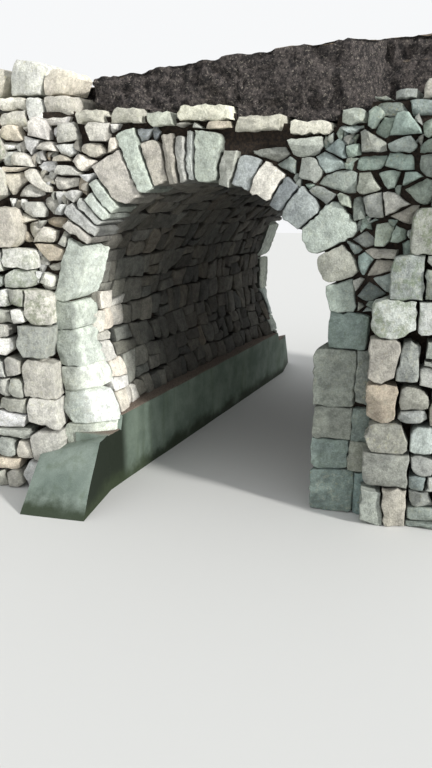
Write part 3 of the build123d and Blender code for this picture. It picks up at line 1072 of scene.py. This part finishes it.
def wall_palettes(x):
    """Painted sunlight on the left with pale tints, grey over the crown, painted shade on the right with
    green-grey tints.
    """
    if x < -0.6:
        return sunny, sunny, sunny, sunny, pale, tan
    if x < 0.5:
        return sunny, pale, mixed, tan, bluish
    return shaded, shaded, mixed, light_green, light_green, light_green


def marked_outline(x, z, foot, top, height, lean):
    """Outline of one stone that stands out in the photograph."""
    corners = np.array([(-foot, -height), (foot, -height), (top, height), (-top, height)]) / 2
    turn = math.radians(lean)
    across = corners @ (math.cos(turn), math.sin(turn))
    up = corners @ (-math.sin(turn), math.cos(turn))
    return np.stack([x + across, z + up], axis=1)


def hidden_areas():
    """Parts of a face that buttresses and sunken slabs cover."""
    hidden = []
    for turned, edge in ((True, left_buttress_edge), (False, right_buttress_edge)):
        for x, low, top in buttress_tiers(edge):
            block = rectangle(x + 0.05, half_width + 0.05, low - 0.02, top - 0.04)
            hidden.append(mirrored(block) if turned else block)
    sunk = [
        rectangle(x_low - slab_gap / 2, x_high + slab_gap / 2, bed, slab_top + 0.1)
        for x_low, x_high, bed in slab_places() if bed < spandrel_top - 0.001
    ]
    return hidden, sunk


def make_wall(end, wall, sign, seed):
    """Spandrels and piers of one face, with corner stones that return into the arch."""
    sunlit_side = 1.75              # painted sunlight: the left corner stones' sides, which face the sun, are this much lighter than their tint
    bold_share = 0.35               # stones that stand out from the face
    rng = np.random.default_rng(seed)
    surface = upright(wall, sign)
    hidden, sunk = hidden_areas()
    opening = rectangle(-arch_half_span, arch_half_span, 0, springing + 0.01)
    jambs = jamb_blocks(rng)
    left = Batch()
    right = Batch()
    for outline, depth in jambs:
        on_left = outline[:, 0].mean() < 0
        batch = left if on_left else right
        # painted light and shade: the left corner stones' fronts take a grey tint for shade, their sides are
        # painted sunlit
        look = {"side_shade": sunlit_side} if on_left else {}
        add_stone(batch, rng, splayed(wall, sign) if on_left else surface, outline, depth,
                  pick(rng, jamb_grey if on_left else jamb_teal), face_growth(rng, outline[:, 1].mean()),
                  face=rng.uniform(-0.014, 0.006), levels=(0.05, 0.14, depth - 0.07), **look, **jamb_finish)
    blocked = ring_polygons + [outline for outline, depth in jambs]
    kept_clear = blocked + hidden + [opening] + sunk
    marked = [marked_outline(*sizes) for sizes in marked_stones]
    marked = rubble(rng, marked, obstacles=kept_clear, **marked_bond)
    kept_clear += marked
    blocks = scattered(rng, -half_width, 0.0, springing, spandrel_top, left_wall_stone)
    stones = marked + rubble(rng, blocks, obstacles=kept_clear, **left_wall_bond)
    blocks = scattered(rng, 0.0, half_width, springing, spandrel_top, right_wall_stone)
    stones += rubble(rng, blocks, obstacles=kept_clear, **right_wall_bond)

    def in_wall(x, z):
        clear = (np.hypot(x, z - arch_centre) > arch_radius + 0.19) & (z > springing)
        for polygon in hidden + sunk:
            low, high = polygon.min(axis=0), polygon.max(axis=0)
            clear &= ~((x > low[0]) & (x < high[0]) & (z > low[1]) & (z < high[1]))
        return clear

    small = gap_stones(rng, stones + blocked, -half_width, half_width, springing, spandrel_top, in_wall)
    for index, outline in enumerate(stones + small):
        is_marked = index < len(marked)
        is_small = index >= len(stones)
        middle = outline.mean(axis=0)
        fallen = not is_marked and not is_small and rng.random() < fallen_share
        if fallen or math.hypot(middle[0], middle[1] - arch_centre) < arch_radius + 0.05:
            continue
        batch = left if middle[0] < 0 else right
        # painted sunlight: marked stones on the left take sunlit tints
        if is_marked:
            tint = pick(rng, sunny if middle[0] < 0 else light_green)
        else:
            tint = pick(rng, *wall_palettes(middle[0]))
        growth = face_growth(rng, middle[1])
        if is_small:
            add_stone(batch, rng, surface, outline, 0.05, tint * 0.7, growth,
                      face=rng.uniform(-0.05, -0.02), **pinning_finish)
        else:
            bold = is_marked or rng.random() < bold_share
            add_stone(batch, rng, surface, outline, 0.14, tint, growth,
                      face=rng.uniform(0.01, 0.032) if bold else rng.uniform(-0.055, 0.002),
                      relief=rng.uniform(0.016, 0.034), **wall_finish)
    for side, batch in (("left", left), ("right", right)):
        nodes = [f"{end}_{side}_spandrel"]
        if end == "front":
            nodes.append(f"{side}_abutment")
        batch.build(f"{end}_{side}_wall_stones", "wall_rubble", nodes)


def end_blocks(low, high, y_low, y_high):
    """The staggered blocks of one stretch of an outer end, each with its set-back."""
    rows = max(1, round((high - low) / end_course_height))
    height = (high - low) / rows
    columns = max(1, round((rear - front) / end_block_length))
    length = (rear - front) / columns
    blocks = []
    for row, column in itertools.product(range(rows), range(columns + 1)):
        start = front + (column - (row % 2) / 2) * length
        finish = min(start + length, y_high)
        start = max(start, y_low)
        if finish - start > 0.05:
            set_back = end_set_backs[(3 * row + column) % len(end_set_backs)]
            blocks.append((rectangle(start, finish, low + row * height, low + (row + 1) * height), set_back))
    return blocks


def make_end(side, sign, seed):
    """Rubble of the outer end of the bridge, from the ground to the earth of the track."""
    rng = np.random.default_rng(seed)
    surface = side_face(sign * half_width, sign)
    batch = Batch()
    blocks = end_blocks(0.0, springing, front, rear) + end_blocks(springing, slab_top, fill_front, fill_rear)
    for y_low, y_high in ((front, fill_front), (fill_rear, rear)):
        corner = courses(rng, y_low, y_high, springing, spandrel_top, height=0.32, length=0.5)
        blocks += [(block, 0.0) for block in corner]
    # painted light and shade: sunlit tints on the left end, darker tints of shade on the right end, which the
    # sun faces
    palettes = (mixed, sunny, tan) if side == "left" else (shaded, dim)
    for block, set_back in blocks:
        for outline in rubble(rng, [block], **end_bond):
            add_stone(batch, rng, surface, outline, 0.11, pick(rng, *palettes),
                      face_growth(rng, outline[:, 1].mean()), face=-set_back - rng.uniform(0.002, 0.014),
                      **end_finish)
    batch.build(f"{side}_end_stones", "wall_rubble", [f"{side}_haunch_backing"])


def lining_look(rng, depth, height, on_left):
    """Tint and growth of a stone inside the arch, by its depth behind the front face and its
    height over the springing, measured round the vault: painted sunlight near the front of the left
    side wall, painted shade deeper in and higher up, with damp that grows with the shade."""
    # painted sunlight on the left side wall near the front
    if on_left and depth < sunlit_depth:
        return pick(rng, sunny), (0.05, 0.0, 0.0)
    # painted shade that deepens inwards and upwards
    inward = (depth - sunlit_depth) / (dim_depth - sunlit_depth)
    upward = height / low_vault
    gloom = min(max(inward, upward, 0.0), 1.0) ** 0.6
    return pick(rng, dim) * (1 - gloom) + pick(rng, gloomy) * gloom, (0.05, 0.0, 0.3 * gloom)


def make_barrel(seed):
    """Side walls and vault inside the arch: squarish blocks with fine joints, painted in shade and damp
    inside.
    """
    rng = np.random.default_rng(seed)
    low_y = front + quoin_depth
    high_y = rear - quoin_depth
    left_foot = ledge_height - springing - 0.04
    right_foot = vault_length + springing - plinth_height + 0.03
    names = ("left_barrel_wall_stones", "vault_stones", "right_barrel_wall_stones")
    pieces = {name: Batch() for name in names}
    blocks = courses(rng, low_y, high_y, left_foot, right_foot, height=0.27, length=0.42, wave=0.02)
    for outline in rubble(rng, blocks, **lining_bond):
        depth, reach = outline.mean(axis=0) - (front, 0.0)
        tint, growth = lining_look(rng, depth, min(reach, vault_length - reach), reach < 0)
        name = names[int(reach >= 0) + int(reach > vault_length)]
        add_stone(pieces[name], rng, lining, outline, 0.11, tint, growth, face=rng.uniform(-0.016, 0.004),
                  relief=rng.uniform(0.007, 0.018), **lining_finish)
    strips = (
        "left_springing", "left_haunch", "left_shoulder", "crown",
        "right_shoulder", "right_haunch", "right_springing",
    )
    slots = ("wall_rubble", "vault_rubble", "wall_rubble")
    replaced = ([], [f"vault_{strip}" for strip in strips], [])
    for name, slot, nodes in zip(names, slots, replaced):
        pieces[name].build(name, slot, nodes)


def make_plinth(seed):
    """Squared blocks along the foot of the right side wall, with their narrow top."""
    rng = np.random.default_rng(seed)
    batch = Batch()
    blocks = courses(rng, front + 0.4, rear, 0.0, plinth_height, height=0.4, length=0.75, wave=0.008)
    for outline in rubble(rng, blocks, **plinth_bond):
        damp = 0.3 + 0.6 * max(0.0, 1 - outline[:, 1].mean() / 0.5)
        # painted shade: the dark tints of the inside of the arch
        add_stone(batch, rng, side_face(plinth_face, -1), outline, 0.12, pick(rng, gloomy, dim),
                  (0.1, 0.1, damp), face=rng.uniform(-0.015, 0.0), **plinth_finish)
    wall_foot = arch_half_span + 0.03
    blocks = courses(rng, front + 0.1, rear - 0.1, plinth_face, wall_foot, height=0.14, length=0.5)
    for outline in rubble(rng, blocks, **plinth_top_bond):
        # painted shade: the dark tints of the inside of the arch
        add_stone(batch, rng, plinth_bed, outline, 0.08, pick(rng, gloomy, dim), (0.1, 0.3, 0.2),
                  face=-0.012, **plinth_top_finish)
    batch.build("plinth_stones", "squared_stone", ["right_channel_plinth"])


# What the photograph shows of each slab from left to right: tint, lichen
slab_looks = [
    ("d6d3c6", 0.3), ("cfcdc1", 0.4), ("c3c7bb", 0.4), ("f0eedc", 0.8),
    ("d3d0c3", 0.3), ("e3e0d3", 0.4), ("b6bdb4", 0.5),
]


def make_slabs(end, wall, sign, seed):
    """Slabs over the crown, each on its own bed; a thick rough plate with its front edge broken off."""
    rng = np.random.default_rng(seed)
    surface = upright(wall + sign * (front - slab_nose), sign)
    depth = face_wall_depth + front - slab_nose
    batch = Batch()
    for (x_low, x_high, bed), (tint, lichen) in zip(slab_places(), slab_looks):
        outline = rectangle(x_low - 0.004, x_high + 0.004, bed, bed + slab_thickness)
        outline = chipped(inset(outline, rng, least=0.0, most=0.01), rng, chance=0.8, size=0.05)
        add_stone(batch, rng, surface, outline, depth, colour(tint), (lichen, 0.1, 0.0),
                  face=-rng.uniform(0.004, 0.02), **slab_finish)
    batch.build(f"{end}_slab_stones", "squared_stone", [f"{end}_coping_slabs"])


def make_parapet(end, side, wall, sign, seed):
    """Bedded course and the loose boulders on it, each as deep as the parapet."""
    rng = np.random.default_rng(seed)
    surface = upright(wall + sign * (front - parapet_face), sign)
    depth = face_wall_depth - (parapet_face - front)
    on_left = side == "left"
    boulders = left_parapet_boulders if on_left else right_parapet_boulders
    inner = left_parapet_end if on_left else right_parapet_end
    bed = spandrel_top + (left_parapet_course if on_left else right_parapet_course)
    # painted light and shade: sunlit tints on the left, shaded ones on the right
    palettes = (sunny,) if on_left else (shaded, mixed)
    course = courses(rng, inner, half_width, spandrel_top - 0.01, bed, height=0.26, length=0.42)
    stones = rubble(rng, course, **parapet_bond)
    free_length = half_width - inner - boulder_gap * (len(boulders) - 1)
    scale = free_length / sum(length for length, height in boulders)
    x = half_width
    for index, (length, height) in enumerate(boulders):
        shares = np.array(boulder_shares)
        if index % 2:
            shares = (shares * (-1, 1) + (1, 0))[::-1]
        outline = np.stack([x - length * scale * shares[:, 0], bed + height * shares[:, 1]], axis=1)
        if area(outline) < 0:
            outline = outline[::-1]
        outline = inset(outline, rng, least=0.0, most=0.006)
        stones.append(chipped(outline, rng, chance=0.4, size=0.03))
        x -= length * scale + boulder_gap
    batch = Batch()
    for outline in stones:
        add_stone(batch, rng, surface, mirrored(outline) if on_left else outline, depth, pick(rng, *palettes),
                  (rng.uniform(0.2, 0.8), 0.12, 0.0), face=rng.uniform(-0.025, 0.0), back=True,
                  **boulder_finish)
    name = f"{end}_{side}_parapet"
    batch.build(f"{name}_stones", "wall_rubble", [name])


def make_ledge():
    """Concrete along the channel, lower at both ends, where the wall's corner stones stand on it."""
    round_edge = 0.02
    edge_height = ledge_height - ledge_fall
    outline = [
        (-arch_half_span - 0.05, 0.0), (channel_face, 0.0), (channel_face, edge_height - round_edge),
        (channel_face - 0.3 * round_edge, edge_height - 0.3 * round_edge),
        (channel_face - round_edge, edge_height), (-arch_half_span - 0.05, ledge_height),
    ]
    section = along(outline, 0.05)
    sections = 111
    rings = []
    for y in np.linspace(front, rear, sections):
        at_end = min(y - front, rear - y) < ledge_notch
        lowered = apron_channel_height / ledge_height if at_end else 1
        rings.append(skewed(section[:, 0], y, section[:, 1] * lowered))
    loft("channel_ledge", rings, concrete, "concrete", ["left_channel_ledge"], size=0.3, amount=0.004)


def make_apron(end, wall, sign):
    """Concrete before the left pier: a narrow level top, then a slope that bulges a little."""
    nose = wall + sign * buttress_projection
    foot = nose + sign * apron_foot
    channel_x = channel_face + wall * skew_slope
    climb = np.linspace(0, 1, 10)
    bulge = 0.012 * np.sin(math.pi * climb)
    sections = 25
    rings = []
    for share in np.linspace(0, 1, sections):
        top = apron_channel_height * (1 - share) + apron_end_height * share
        y = np.concatenate([[wall], foot + (nose - foot) * climb + sign * bulge, [nose - sign * 0.06, wall]])
        z = np.concatenate([[0.0], top * climb, [top, top]])
        rings.append(np.stack([np.full(len(y), channel_x - apron_width * share), y, z], axis=1))
    nodes = [f"{end}_pier_apron"]
    loft(f"{end}_apron_concrete", rings, concrete, "concrete", nodes, size=0.22, amount=0.005, sharp=60)


def earth_section(x, edge, foot):
    """Section across the track: up the front bank, over the crown and down the rear bank."""
    bank_points = 18
    top_points = 100
    round_edge = 0.03
    bank = np.linspace(0, 1, bank_points)
    across = np.linspace(-edge + round_edge, edge - round_edge, top_points)
    y = np.concatenate([np.full(bank_points, -edge), across, np.full(bank_points, edge)])
    rise = np.concatenate([bank, np.ones(top_points), bank[::-1]])
    on_bank = np.abs(y) > edge - 0.001
    verge = slab_top + earth_band_height + track_rise * (x + y * skew_slope) / (2 * half_width)
    crest = verge + track_camber * (1 - np.abs(y) / earth_edge)
    points = skewed(x, y, foot + (crest - foot) * rise)
    lump = lumps(points, 0.2) + 0.8 * lumps(points + 3.1, 0.09) + 0.5 * lumps(points + 5.7, 0.045)
    worn = np.where(on_bank, np.clip(0.045 + 0.055 * lump, 0.002, 0.13), 0.0)
    drop = np.clip(0.02 + 0.022 * lump, 0.001, 0.06) * rise
    points[:, 1] -= np.sign(y) * worn
    points[:, 0] -= np.sign(y) * worn * skew_slope
    points[:, 2] -= drop
    return points


def make_earth():
    """Packed earth over the slabs with lumpy banks that are worn back beside the parapets, and a
    crowned track on top."""
    worn_length = 0.2
    left_sections = 36
    right_sections = 32
    rings = [
        earth_section(x, -fill_front, slab_top)
        for x in np.linspace(-half_width, -left_parapet_end, left_sections)
    ]
    for x_low, x_high, bed in slab_places():
        inside = 0.48 * slab_gap
        for x in np.linspace(x_low - inside, x_high + inside, max(4, round((x_high - x_low) / 0.03))):
            share = min(1.0, (x + left_parapet_end) / worn_length, (right_parapet_end - x) / worn_length)
            edge = -fill_front + (earth_edge + fill_front) * math.sin(math.pi / 2 * max(share, 0.0))
            rings.append(earth_section(x, edge, bed + slab_thickness - 0.008))
    rings += [
        earth_section(x, -fill_front, slab_top)
        for x in np.linspace(right_parapet_end, half_width, right_sections)
    ]
    loft("track_earth", rings, earth, "earth", ["earth_track"], size=0.09, amount=0.006, sharp=50)


def make_camera():
    """Camera at the photograph's viewing angle; its focal length is a share of the picture's height."""
    data = bpy.data.cameras.new("camera")
    data.sensor_width = 36.0
    data.lens = focal_pixels / picture_height * data.sensor_width
    camera = bpy.data.objects.new("camera", data)
    bpy.context.collection.objects.link(camera)
    camera.location = camera_place
    turn = Euler((math.radians(90 - camera_pitch), 0.0, math.radians(camera_turn)), "XYZ").to_matrix()
    roll = Euler((0.0, 0.0, math.radians(camera_roll)), "XYZ").to_matrix()
    camera.rotation_euler = (turn @ roll).to_euler()
    bpy.context.scene.camera = camera


def make_sky():
    """Even pale sky light; what the camera sees behind the bridge is nearly white."""
    world = bpy.data.worlds.new("world")
    bpy.context.scene.world = world
    world.use_nodes = True
    tree = world.node_tree
    sky = tree.nodes["Background"]
    sky.inputs["Color"].default_value = (0.95, 0.97, 1.0, 1)
    sky.inputs["Strength"].default_value = sky_strength
    backdrop = tree.nodes.new("ShaderNodeBackground")
    backdrop.inputs["Color"].default_value = (0.93, 0.94, 0.95, 1)
    backdrop.inputs["Strength"].default_value = 1.0
    rays = tree.nodes.new("ShaderNodeLightPath")
    seen = rays.outputs["Is Camera Ray"]
    for label in ("Is Glossy Ray", "Is Transmission Ray"):
        either = tree.nodes.new("ShaderNodeMath")
        either.operation = "MAXIMUM"
        tree.links.new(seen, either.inputs[0])
        tree.links.new(rays.outputs[label], either.inputs[1])
        seen = either.outputs[0]
    choice = tree.nodes.new("ShaderNodeMixShader")
    tree.links.new(seen, choice.inputs[0])
    tree.links.new(sky.outputs[0], choice.inputs[1])
    tree.links.new(backdrop.outputs[0], choice.inputs[2])
    tree.links.new(choice.outputs[0], tree.nodes["World Output"].inputs["Surface"])


def make_sun():
    """Soft raking sun from the right."""
    data = bpy.data.lights.new("sun", "SUN")
    data.energy = sun_strength
    data.angle = math.radians(sun_width)
    data.color = (1.0, 0.99, 0.97)
    sun = bpy.data.objects.new("sun", data)
    sun.rotation_euler = (math.radians(sun_tilt), 0, math.radians(sun_turn))
    bpy.context.collection.objects.link(sun)


def make_floor():
    reach = 40.0
    mesh = bpy.data.meshes.new("floor")
    corners = [(-reach, -reach, 0), (reach, -reach, 0), (reach, reach, 0), (-reach, reach, 0)]
    mesh.from_pydata(corners, [], [(0, 1, 2, 3)])
    material = bpy.data.materials.new("pale_floor")
    material.use_nodes = True
    shader = material.node_tree.nodes["Principled BSDF"]
    shader.inputs["Base Color"].default_value = (0.68, 0.68, 0.66, 1)
    shader.inputs["Roughness"].default_value = 0.9
    mesh.materials.append(material)
    floor = bpy.data.objects.new("floor", mesh)
    bpy.context.collection.objects.link(floor)


make_core()
for end, wall, sign, seed in (("front", front, -1, 11), ("rear", rear, 1, 12)):
    make_ring(end, wall, sign, seed)
for end, wall, sign, seed in (("front", front, -1, 20), ("rear", rear, 1, 40)):
    make_wall(end, wall, sign, seed)
    make_slabs(end, wall, sign, seed + 1)
    make_apron(end, wall, sign)
    for side in ("left", "right"):
        make_buttress(end, side, wall, sign, seed + 2 + (side == "right"))
        make_parapet(end, side, wall, sign, seed + 4 + (side == "right"))
make_end("left", -1, 61)
make_end("right", 1, 62)
make_barrel(71)
make_plinth(72)
make_ledge()
make_earth()
make_camera()
make_sky()
make_sun()
make_floor()
bpy.context.scene.view_settings.view_transform = "Standard"
